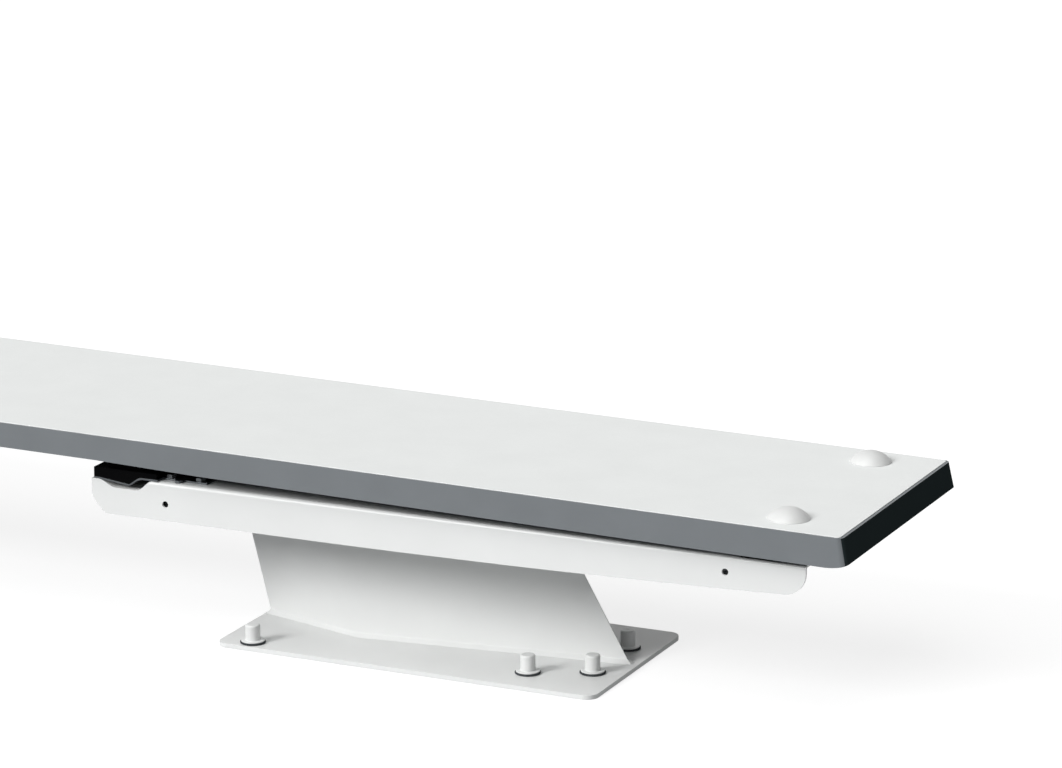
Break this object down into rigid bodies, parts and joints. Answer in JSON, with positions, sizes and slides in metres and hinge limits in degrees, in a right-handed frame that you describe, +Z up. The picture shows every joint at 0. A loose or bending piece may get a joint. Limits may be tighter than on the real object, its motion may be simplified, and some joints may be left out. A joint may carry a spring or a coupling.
{
  "type": "diving stand",
  "caption": "Low pool diving stand: a leaning streamlined pedestal on a base plate carries a channel frame and a springboard over a fulcrum.",
  "frame": {"origin": "on the deck, at the middle of the base plate's underside", "axes": "+X toward the pool along the board, +Y to the left of someone walking out on the board, +Z up"},
  "size_m": [3.048, 0.516, 0.3891],
  "materials": {
    "white_paint": "satin",
    "zinc_steel": "satin",
    "black_rubber": "matte",
    "white_plastic": "satin",
    "board_skin": "satin",
    "board_core": "matte",
    "board_tread": "matte"
  },
  "bodies": {
    "root": {"base_plate": "white_paint", "pedestal_left": "white_paint", "pedestal_right": "white_paint", "pedestal_ribs": "white_paint", "pedestal_cap": "white_paint", "frame_channel": "white_paint", "frame_spine": "white_paint", "front_crossmember": "white_paint", "heel_crossmember": "white_paint", "rail_bosses": "white_paint", "fulcrum_plate": "zinc_steel", "fulcrum_clamp_bolts": "zinc_steel", "fulcrum_clamp_nuts": "zinc_steel", "fulcrum_tail_bolts": "zinc_steel", "fulcrum_edge_screws": "zinc_steel", "fulcrum_backing_bars": "zinc_steel", "heel_bolts": "zinc_steel", "heel_backing_plate": "zinc_steel", "heel_nuts": "zinc_steel", "anchor_washers": "zinc_steel", "anchor_nuts": "zinc_steel", "fulcrum_block": "black_rubber", "fulcrum_pad": "black_rubber", "heel_pads": "black_rubber", "heel_washers": "black_rubber", "anchor_seals": "black_rubber", "anchor_caps": "white_plastic", "heel_caps": "white_plastic", "board_heel_shell": "board_skin", "board_heel_core": "board_core", "board_heel_tread": "board_tread"},
    "board_tip": {"board_tip_shell": "board_skin", "board_tip_core": "board_core", "board_tip_tread": "board_tread"}
  },
  "joints": [
    {"name": "board_flex", "type": "hinge", "parent": "root", "child": "board_tip", "pos_m": [0.545, 0, 0.3489], "axis": [0, 1, 0], "range_deg": [-3, 8], "stiffness_Nm_per_rad": 30900, "springref_deg": -0.35}
  ]
}
